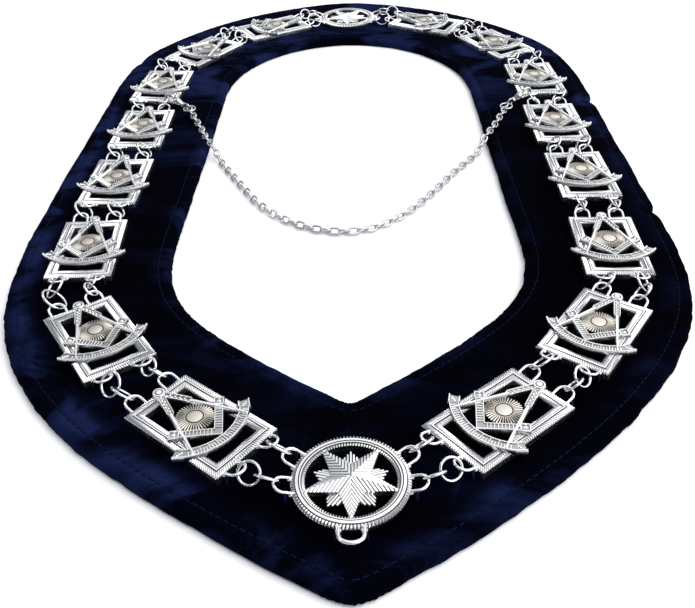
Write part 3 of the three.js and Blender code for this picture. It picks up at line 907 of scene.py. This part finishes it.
def sun_disc(form):
    """Rounded rays about a plain boss, with painted shade between the rays, at their foot by the boss and
    in the boss's grooves.
    """
    rows = []
    marks = []
    for i, (x, y) in enumerate(circle(SUN_RAYS * SUN_SAMPLES)):
        crest = abs(math.sin(math.pi * i / SUN_SAMPLES))
        out = Vector((x, y))
        wall = out * SUN_BOSS
        row = [flat(0, 0, SUN_TOP - SUN_SINK), flat(wall.x, wall.y, SUN_TOP - SUN_SINK)]
        edge = SUN_RADIUS * (1 - SUN_SCALLOP * (1 - crest))
        for reach in SUN_REACHES:
            past_root = reach - SUN_ROOT
            spot = out * (SUN_BOSS + (edge - SUN_BOSS) * past_root / (1 - SUN_ROOT))
            groove = SUN_GROOVE * (1 - crest) * min(1.0, SUN_GROOVE_SLOPE * past_root)
            row.append(flat(spot.x, spot.y, SUN_TOP - SUN_FALL * reach ** 4 - groove))
        row.append(flat(spot.x, spot.y, EMBLEM_BASE))
        row.append(flat(0, 0, EMBLEM_BASE))
        rows.append(row)
        shade = min(1.0, SUN_SHADE * (1 - crest))
        marks.append([0.0, 1.0, *[shade] * len(SUN_REACHES), 0.0, 0.0])
    disc = Form()
    disc.grid(rows, loop=True, finish=1, painted_light=marks)
    turned_form(disc, BOSS_PROFILE, BOSS_STEPS, BOSS_GROOVES, finish=1)
    form.add(disc, Matrix.Translation(flat(0, SUN_Y, 0)))


def wire_loop():
    """A U of wire on two small feet, its root at the origin and its crown towards +Y."""
    bend_start = LOOP_REACH - LOOP_SIDE * LOOP_BEND
    right = [Vector((LOOP_SIDE, y, 0)) for y in (*LOOP_STRAIGHT, bend_start)]
    for k in range(1, LOOP_BEND_STEPS + 1):
        turn = math.pi / 2 * k / LOOP_BEND_STEPS
        y = bend_start + LOOP_SIDE * LOOP_BEND * math.sin(turn)
        right.append(Vector((LOOP_SIDE * math.cos(turn), y, 0)))
    left = [Vector((-point.x, point.y, 0)) for point in reversed(right)]
    slope = Matrix.Rotation(LOOP_SLOPE, 4, "X")
    loop = Form()
    tube(loop, [slope @ point for point in right + left], LOOP_WIRE, LOOP_WIRE_SIDES)
    for side in (-LOOP_SIDE, LOOP_SIDE):
        pearl(loop, Vector((side, LOOP_FOOT_PLACE, -LOOP_FOOT_PLACE)), LOOP_FOOT, sides=12)
    return loop


def plate_loops(form):
    for turn in (0, math.pi):
        for side in (-LOOP_OFFSET, LOOP_OFFSET):
            root = Matrix.Translation(flat(side, PLATE_LENGTH / 2 - LOOP_ROOT_DEPTH, LOOP_ROOT_HEIGHT))
            form.add(wire_loop(), Matrix.Rotation(turn, 4, "Z") @ root)


def plate_mesh():
    form = Form()
    milled_frame(form)
    compasses(form)
    try_square(form)
    quadrant_arc(form)
    sun_disc(form)
    plate_loops(form)
    return mesh_of("pierced_plate", form, [PLATE_SILVER, SUN_REFLECTION_SILVER])


def place_plates():
    mesh = plate_mesh()
    for side, poses in POSES.items():
        for i, (middle, turn) in enumerate(poses):
            node = f"plate_{side}_{i + 1}"
            seat = seated(middle * MM, turn, SEAT * MM)
            place_piece(mesh, [node], seat, f"pierced_{node}")


# Medallions


def rib(offset):
    """Height of the ribbing at a distance from the middle of the ray."""
    share = (offset / RIB_PITCH) % 1.0
    return -RIB_DEPTH * max(0.0, 2 * abs(2 * share - 1) - 1)


def star_line(offset):
    """Start and end of a line on the star, each with its distance from the middle, height and painted shade
    in the rib valleys.
    """
    share = abs(offset) / STAR_HALF
    relief = rib(offset)
    mark = -relief / RIB_DEPTH
    top = STAR_APEX - (STAR_APEX - STAR_RIM) * share + relief * STAR_MIDDLE_RIB
    start = (abs(offset) / math.tan(STAR_TURN), top, STAR_MIDDLE_SHADE * mark)
    return start, (STAR_INNER + (STAR_TIP - STAR_INNER) * share, STAR_RIM + relief, mark)


def ray_line(offset):
    relief = rib(offset + RIB_PITCH / 2)
    # Painted shade in the rib valleys, as on the star
    mark = -relief / RIB_DEPTH
    top = RAY_TOP - RAY_SIDE_FALL * abs(offset) / RAY_HALF + relief
    end = RAY_OUTER - RAY_STEP * round(abs(offset) / RIB_PITCH)
    return (RAY_START, top + RAY_SLOPE, mark), (end, top - RAY_SLOPE, mark)


def ribbed_sectors(form, line, half, base, closed):
    """The same ribbed face in each sector, made of lines side by side."""
    count = round(half / RIB_PITCH * RIB_SAMPLES)
    for sector in range(STAR_POINTS):
        aim = math.pi / 2 + 2 * STAR_TURN * sector
        along = Vector((math.cos(aim), math.sin(aim)))
        beside = Vector((-along.y, along.x))
        rows = []
        marks = []
        for k in range(-count, count + 1):
            offset = half * k / count
            ends = line(offset)
            inner, outer = (along * reach + beside * offset for reach, _, _ in ends)
            tops = [flat(spot.x, spot.y, end[1]) for spot, end in zip((inner, outer), ends)]
            rows.append([*tops, flat(outer.x, outer.y, base), flat(inner.x, inner.y, base)])
            marks.append([ends[0][2], ends[1][2], 0.0, 0.0])
        form.grid(rows, ring=closed, caps=closed, painted_light=marks)


def medallion_mesh(name, loop_angles, pendant):
    form = Form()
    turned_form(form, RIM_PROFILE, RIM_TEETH * len(MILL_WAVE), RIM_GROOVES, milled=True)
    ribbed_sectors(form, star_line, STAR_HALF, STAR_BASE, False)
    ribbed_sectors(form, ray_line, RAY_HALF, RAY_BASE, True)
    loops = [(angle, 1.0) for angle in loop_angles]
    if pendant:
        loops.append((PENDANT_LOOP, PENDANT_SCALE))
    root = Matrix.Translation(flat(0, MEDALLION_RADIUS - LOOP_ROOT_DEPTH, LOOP_ROOT_HEIGHT))
    for angle, scale in loops:
        turn = Matrix.Rotation(math.radians(angle - 90), 4, "Z")
        form.add(wire_loop(), turn @ root @ Matrix.Scale(scale, 4))
    return mesh_of(name, form, [PLATE_SILVER])


def place_medallions():
    rows = (("front", FRONT_MIDDLE, FRONT_LOOPS, True), ("back", BACK_MIDDLE, BACK_LOOPS, False))
    for name, middle, loops, pendant in rows:
        angles = [angle for given in loops.values() for angle in (given, 180 - given)]
        mesh = medallion_mesh(f"star_medallion_{name}", angles, pendant)
        seat = seated(middle * MM, height=SEAT * MM)
        place_piece(mesh, [f"medallion_{name}"], seat)


# Jump rings


def loop_hold(middle, turn, x, root, end=1):
    """Root and crown of a loop at either end of a plate, or at the rim of a medallion."""
    seat = seated(middle, turn, CROWN_HEIGHT)
    return [seat @ flat(x, end * reach) for reach in (root, root + CROWN_REACH)]


def ring_axes(along, radius, raised, lean):
    tilt = lean * min(RING_STEEPEST, math.asin(min(1.0, RING_DIP / radius)))
    across = UP.cross(along)
    across *= math.copysign(math.cos(tilt), across.dot(raised))
    return across + UP * math.sin(tilt)


def ring(form, centre, along, across, radius):
    path = [centre + (along * x + across * y) * radius for x, y in circle(RING_STEPS)]
    tube(form, path, RING_WIRE, RING_SIDES, loop=True)


def single_ring(start, end, raised):
    """Middle, long way, raised way and radius of one ring that holds two loops."""
    along = (end[0] - start[0]).normalized()
    radius = max(RING_RADIUS, (end[1] - start[1]).length / 2 + RING_PAST_CROWN)
    return (start[1] + end[1]) / 2, along, ring_axes(along, radius, raised, 1), radius


def ring_pair(form, start, end, raised):
    along = end[1] - start[1]
    reach = along.length + 2 * RING_PAST_CROWN
    along.normalize()
    radius = (reach + PAIR_OVERLAP) / 4
    inset = radius - RING_PAST_CROWN
    for middle, lean in ((start[1] + along * inset, 1), (end[1] - along * inset, -1)):
        ring(form, middle, along, ring_axes(along, radius, raised, lean), radius)


def link_ends(side, place):
    """The loops that each link of one row joins."""
    sign = SIDES[side]
    poses = POSES[side]
    beside = sign * (LOOP_OFFSET if place == "outer" else -LOOP_OFFSET)
    shoulder = sign * LOOP_CROWN_SIDE * FRONT_OUTER_SHOULDER if place == "outer" else 0.0
    front, back = (angle if sign > 0 else 180 - angle for angle in (FRONT_LOOPS[place], BACK_LOOPS[place]))
    starts = [loop_hold(FRONT_MIDDLE, math.radians(front - 90), -shoulder, MEDALLION_RADIUS)]
    starts += [loop_hold(*pose, beside, PLATE_LENGTH / 2) for pose in poses]
    ends = [loop_hold(*pose, beside, PLATE_LENGTH / 2, -1) for pose in poses]
    ends.append(loop_hold(BACK_MIDDLE, math.radians(back - 90), 0.0, MEDALLION_RADIUS))
    return list(zip(starts, ends))


def outward(start, end):
    middle = start[1] + end[1]
    return flat(middle.x, middle.y)


def place_links():
    for side in SIDES:
        for place in ("inner", "outer"):
            for i, (start, end) in enumerate(link_ends(side, place)):
                raised = outward(start, end)
                if place == "inner" and i == CLASP_LINK:
                    raised.negate()
                form = Form()
                if (end[1] - start[1]).length > SINGLE_RING_SPAN:
                    ring_pair(form, start, end, raised)
                else:
                    ring(form, *single_ring(start, end, raised))
                node = f"link_{side}_{i}_{place}"
                mesh = mesh_of(f"jump_rings_{side}_{i}_{place}", form, [RING_SILVER])
                place_piece(mesh, [node])


# Velvet


def turn_from_front(point):
    return math.atan2(point.x, -point.y) % (2 * math.pi)


def velvet_edges():
    """The band's outer and inner edge, from the front point on, as the frame gives them."""
    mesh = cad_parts["velvet_collar"].data
    level = sorted({round(vertex.co.z / MM, 2) for vertex in mesh.vertices})[1]
    spots = [(round(vertex.co.x / MM, 2), round(vertex.co.y / MM, 2)) for vertex in mesh.vertices]
    low = [abs(vertex.co.z / MM - level) < LEVEL_SLACK for vertex in mesh.vertices]
    beside = {spots[i]: set() for i, kept in enumerate(low) if kept}
    for edge in mesh.edges:
        start, end = edge.vertices
        if low[start] and low[end]:
            beside[spots[start]].add(spots[end])
            beside[spots[end]].add(spots[start])
    edges = []
    while beside:
        waiting = [next(iter(beside))]
        found = set()
        while waiting:
            spot = waiting.pop()
            if spot not in found:
                found.add(spot)
                waiting.extend(beside.pop(spot))
        edges.append(sorted(map(Vector, found), key=turn_from_front))
    return sorted(edges, key=lambda edge: min(point.y for point in edge))


def drifted(spot):
    """An edge point moved to where the velvet lies, a little to the left of the chain."""
    shift = 0.0
    for place, most, reach in EDGE_DRIFTS:
        near = max(0.0, 1 - ((spot - place).length / reach) ** 2)
        shift += most * near * near
    return Vector((spot.x - shift, spot.y))


def wave(kind, share, row):
    """Height of a wave at a share of the round; waves of one kind differ from row to row."""
    height, count, layer = kind
    return height * noise.noise(Vector((count * share, row, layer)))


def edge_wave(share, outer, spot):
    """Small waves in the sewn edge, a little stronger along the right outer edge, and its notches."""
    row = OUTER_ROW if outer else INNER_ROW
    total = wave(EDGE_WAVE, share, row) + wave(EDGE_FUZZ, share, row)
    if outer and spot.x > 0:
        total += wave(RIGHT_WAVE, share, RIGHT_ROW)
    for place, depth in EDGE_NOTCHES if outer else ():
        total -= depth * max(0.0, 1 - (spot - place).length / NOTCH_REACH) ** 2
    return total


def crease(share, across):
    """How near a place is to one of the soft creases that run across the band."""
    run = wave(CREASE_WAVE, share, CREASE_SLANT * across)
    return max(0.0, 1 - abs(run) / CREASE_HALF) ** 2


def crease_dip(share, across):
    return VELVET_CREASE * crease(share, across) - wave(SWELL_WAVE, share, SWELL_SLANT * across)


def growth(value, start, span):
    """0 up to the start, 1 from a span further on."""
    return min(1.0, max(0.0, (value - start) / span))


def painted_sheen_strength(edge):
    """How strong the painted sheen on the pile is beside a point of the outer edge, and the least of it
    across the band.
    """
    leftward = growth(-edge.x, *PAINTED_SHEEN_LEFT)
    rightward = growth(edge.x, *PAINTED_SHEEN_RIGHT)
    later = PAINTED_SHEEN_NAPE_LATER * rightward
    napeward = growth(edge.y, PAINTED_SHEEN_NAPE[0] + later, PAINTED_SHEEN_NAPE[1] - later)
    frontward = growth(-edge.y, *PAINTED_SHEEN_FRONT)
    strength = PAINTED_SHEEN_ALL + PAINTED_SHEEN_LEFT_GAIN * leftward
    strength += (PAINTED_SHEEN_NAPE_GAIN + PAINTED_SHEEN_RIGHT_NAPE_GAIN * rightward) * napeward
    strength += (PAINTED_SHEEN_FRONT_GAIN - PAINTED_SHEEN_RIGHT_FRONT_LOSS * rightward) * frontward
    return strength, PAINTED_SHEEN_LEAST + PAINTED_SHEEN_NAPE_LEAST * napeward ** 3


def painted_sheen_marks(share, row):
    """How strong the painted sheen on the pile is across the band: most along the seams, the far edge and
    the creases.
    """
    edge = row[0][0]
    far_edge = row[-1][0]
    strength, least = painted_sheen_strength(edge)
    marks = []
    for spot, _ in row:
        from_edge = (spot - edge).length
        from_far_edge = (spot - far_edge).length
        from_seam = from_edge - STITCH_INSET
        fall = from_seam / PAINTED_SHEEN_REACH if from_seam > 0 else -PAINTED_SHEEN_EDGE_LOSS * from_seam / STITCH_INSET
        far = PAINTED_SHEEN_FAR_EDGE * (1 - from_far_edge / PAINTED_SHEEN_FAR_REACH)
        fold = PAINTED_SHEEN_FOLD * crease(share, from_edge / (from_edge + from_far_edge))
        marks.append(strength * max(least, PAINTED_SHEEN_SEAM - fall, far, fold))
    return marks


def place_velvet():
    outer, inner = ([drifted(spot) for spot in edge] for edge in velvet_edges())
    rows = []
    marks = []
    for i in range(VELVET_STATIONS):
        share = i / VELVET_STATIONS
        out = smooth_loop(outer, share * len(outer))
        into = smooth_loop(inner, share * len(inner))
        across = (into - out).normalized()
        out = out - across * edge_wave(share, True, out)
        into = into + across * edge_wave(share, False, into)
        row = [(out + across * inset, height) for inset, height in VELVET_ROLL]
        first = row[-1][0]
        last = into - across * VELVET_ROLL[-1][0]
        for k in range(1, VELVET_COLUMNS + 1):
            part = k / (VELVET_COLUMNS + 1)
            top = VELVET_ROLL[-1][1] + VELVET_CROWN * math.sin(math.pi * part) - crease_dip(share, part)
            row.append((first.lerp(last, part), min(top, SEAT - VELVET_CLEAR)))
        row.extend((into - across * inset, height) for inset, height in reversed(VELVET_ROLL))
        rows.append([flat(spot.x, spot.y, height) for spot, height in row])
        marks.append(painted_sheen_marks(share, row))
    form = Form()
    form.grid(rows, loop=True, ring=True, painted_light=marks)
    mesh = mesh_of("padded_velvet", form, [VELVET], SOFT_EDGE)
    piece = place_piece(mesh, ["velvet_collar"])
    return outer, inner


def place_stitching(outer, inner):
    form = Form()
    for edge, inward in ((outer, 1), (inner, -1)):
        fine = [smooth_loop(edge, k / STITCH_SAMPLES) for k in range(STITCH_SAMPLES * len(edge))]
        line = []
        for before, here, after in zip(fine[-1:] + fine, fine, fine[1:] + fine[:1]):
            heading = (after - before).normalized()
            spot = here + Vector((-heading.y, heading.x)) * (inward * STITCH_INSET)
            line.append(flat(spot.x, spot.y, STITCH_HEIGHT))
        path = smooth_path(line + line[:1], STITCH_PITCH)
        for here, after in zip(path, path[1:]):
            along = (after - here).normalized()
            thread = [here + along * (share * STITCH_LENGTH) - UP * dip for share, dip in STITCH_DIPS]
            tube(form, thread, STITCH_RADIUS, STITCH_SIDES)
    mesh = mesh_of("edge_stitching", form, [STITCH_THREAD], SOFT_EDGE)
    place_piece(mesh)


def tack(form, seat, foot, along):
    """Two strands of thread over one foot of a loop, in the loop's own frame."""
    for strand in TACK_STRANDS:
        arch = []
        for k in range(TACK_STEPS + 1):
            angle = math.pi * k / TACK_STEPS
            rise = SEAT - TACK_SINK + TACK_RISE * math.sin(angle)
            arch.append(seat @ flat(foot - TACK_HALF * math.cos(angle), along + strand, rise))
        tube(form, arch, TACK_RADIUS, TACK_SIDES)


def place_tacks():
    """Thread over the outer feet of the loops, which sews the chain to the velvet."""
    form = Form()
    for poses in POSES.values():
        for middle, turn in poses:
            for end in (0, math.pi):
                seat = seated(middle, turn + end)
                for side in (-1, 1):
                    tack(form, seat, side * (LOOP_OFFSET + LOOP_SIDE), PLATE_LENGTH / 2)
    feet = [(PENDANT_LOOP, side * LOOP_SIDE * PENDANT_SCALE) for side in (-1, 1)]
    for angle, foot in ((FRONT_LOOPS["inner"], -LOOP_SIDE), (FRONT_LOOPS["outer"], LOOP_SIDE)):
        feet += [(angle, foot), (180 - angle, -foot)]
    for angle, foot in feet:
        tack(form, seated(FRONT_MIDDLE, math.radians(angle - 90)), foot, MEDALLION_RADIUS)
    mesh = mesh_of("sewing_tacks", form, [TACK_THREAD], SOFT_EDGE)
    place_piece(mesh)


# Cross chain


def clasp_place(side):
    """The point where the clasp hooks its ring, and the way it points."""
    node = f"clasp_{side}"
    start, end = link_ends(side, "inner")[CLASP_LINK]
    centre, _, across, radius = single_ring(start, end, -outward(start, end))
    hook = centre + across * radius
    points = [vertex.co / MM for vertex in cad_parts[node].data.vertices]
    far = max(points, key=lambda point: (point - hook).length)
    return hook, (far - hook).normalized(), (far - hook).length


def upright(points):
    return [Vector((x, 0, z)) for x, z in points]


def clasp_form(length):
    """A sprung clasp on edge, its hook about the origin and its eye towards +X."""
    form = Form()
    hook = []
    for degrees in CLASP_HOOK_TURNS:
        turn = math.radians(degrees)
        along = CLASP_HOOK_MIDDLE + CLASP_HOOK_REACH * math.cos(turn)
        hook.append((along, CLASP_HOOK_RISE * math.sin(turn)))
    tube(form, upright([*hook, *CLASP_SHANK]), CLASP_HOOK_WIRE, sides=10)
    body = smooth_path(upright([*CLASP_BODY, (length - CLASP_BODY_BACK, 0.0)]), CLASP_BODY_STEP)
    radii = []
    for k in range(len(body)):
        share = k / (len(body) - 1)
        radii.append(CLASP_NECK + CLASP_BELLY * math.sin(math.pi * share ** CLASP_BELLY_LEAN))
    tube(form, body, radii, sides=16)
    tube(form, upright(CLASP_GATE), CLASP_GATE_WIRE, sides=8)
    tube(form, upright([(length - back, 0) for back in CLASP_COLLAR_BACK]), CLASP_COLLAR_RADIUS, sides=14)
    middle = length - CLASP_EYE_BACK
    eye = [(middle + CLASP_EYE_RADIUS * x, CLASP_EYE_RADIUS * z) for x, z in circle(CLASP_EYE_STEPS)]
    tube(form, upright(eye), CLASP_EYE_WIRE, sides=8, loop=True)
    return form


def place_clasp(side):
    hook, aim, length = clasp_place(side)
    beside = UP.cross(aim).normalized()
    lift = aim.cross(beside)
    turn = Matrix((aim, beside, lift)).transposed().to_4x4()
    form = Form()
    form.add(clasp_form(length), Matrix.Translation(hook) @ turn)
    mesh = mesh_of(f"sprung_clasp_{side}", form, [CHAIN_SILVER])
    place_piece(mesh, [f"clasp_{side}"])
    return hook + aim * (length - CLASP_EYE_HOLD)


def chain_link(form, middle, along, across):
    straight = (CHAIN_LINK_LENGTH - CHAIN_LINK_WIDTH) / 2
    round_end = CHAIN_LINK_WIDTH / 2 - CHAIN_WIRE
    path = []
    for k in range(CHAIN_LINK_STEPS):
        turn = 2 * math.pi * (k + 0.5) / CHAIN_LINK_STEPS
        reach = math.copysign(straight, math.cos(turn)) + round_end * math.cos(turn)
        path.append(middle + along * reach + across * (round_end * math.sin(turn)))
    tube(form, path, CHAIN_WIRE, CHAIN_WIRE_SIDES, loop=True)


def place_cross_chain(left_end, right_end):
    route = [left_end, *(Vector(point) for point in CHAIN_ROUTE), right_end]
    path = smooth_path(route, CHAIN_PITCH)
    form = Form()
    for eye, after in ((path[0], path[1]), (path[-1], path[-2])):
        along = (after - eye).normalized()
        level = UP.cross(along).normalized()
        middle = eye + along * END_RING_RADIUS * END_RING_INSET + UP * END_RING_LIFT
        ring(form, middle, along, level, END_RING_RADIUS)
    for i, (before, after) in enumerate(zip(path, path[1:])):
        along = (after - before).normalized()
        level = UP.cross(along).normalized()
        lean = math.radians(CHAIN_LEANS[i % len(CHAIN_LEANS)])
        across = level * math.cos(lean) + along.cross(level) * math.sin(lean)
        chain_link(form, (before + after) / 2 + UP * CHAIN_LIFT, along, across)
    mesh = mesh_of("cable_chain", form, [CHAIN_SILVER], CHAIN_EDGE)
    place_piece(mesh, ["cross_chain"])


# Studio


def place_camera():
    swing = Matrix.Rotation(CAMERA_SWING, 4, "Z")
    dip = Matrix.Rotation(math.pi / 2 - CAMERA_DIP, 4, "X")
    roll = Matrix.Rotation(CAMERA_ROLL, 4, "Z")
    camera = bpy.data.cameras.new("camera")
    camera.lens = CAMERA_LENS
    camera.sensor_width = CAMERA_SENSOR
    camera.sensor_fit = "HORIZONTAL"
    camera.clip_start = CAMERA_NEAR * MM
    holder = bpy.data.objects.new("camera", camera)
    holder.matrix_world = Matrix.Translation(CAMERA_PLACE * MM) @ swing @ dip @ roll
    bpy.context.scene.collection.objects.link(holder)
    bpy.context.scene.camera = holder


def place_floor():
    reach = FLOOR_REACH
    corners = [(-reach, -reach, 0), (reach, -reach, 0), (reach, reach, 0), (-reach, reach, 0)]
    mesh = bpy.data.meshes.new("floor")
    mesh.from_pydata(corners, [], [(0, 1, 2, 3)])
    mesh.materials.append(pale_floor())
    floor = bpy.data.objects.new("floor", mesh)
    bpy.context.scene.collection.objects.link(floor)


def light_room():
    """Lamps, and a room that is bright on one side."""
    for name, (place, size, power) in LAMPS.items():
        light = bpy.data.lights.new(name, "AREA")
        light.size = size
        light.energy = power
        lamp = bpy.data.objects.new(name, light)
        lamp.location = place
        lamp.rotation_euler = (-place).to_track_quat("-Z", "Y").to_euler()
        bpy.context.scene.collection.objects.link(lamp)
    world = bpy.data.worlds.new("studio")
    bpy.context.scene.world = world
    world.use_nodes = True
    tree = world.node_tree
    view = tree.nodes.new("ShaderNodeTexCoord")
    facing = tree.nodes.new("ShaderNodeVectorMath")
    facing.operation = "DOT_PRODUCT"
    facing.inputs[1].default_value = BRIGHT_SIDE
    tree.links.new(view.outputs["Generated"], facing.inputs[0])
    lit = ranged(tree, facing.outputs["Value"], *ROOM_TURN, 0.0, 1.0)
    background = tree.nodes["Background"]
    tree.links.new(mix_colours(tree, lit, ROOM_DARK, ROOM_BRIGHT), background.inputs["Color"])
    background.inputs["Strength"].default_value = 1.0
    bpy.context.scene.view_settings.view_transform = "Standard"


place_camera()
left_chain_end = place_clasp("left")
right_chain_end = place_clasp("right")
place_cross_chain(left_chain_end, right_chain_end)
outer_edge, inner_edge = place_velvet()
place_stitching(outer_edge, inner_edge)
place_plates()
place_medallions()
place_links()
place_tacks()
place_floor()
light_room()
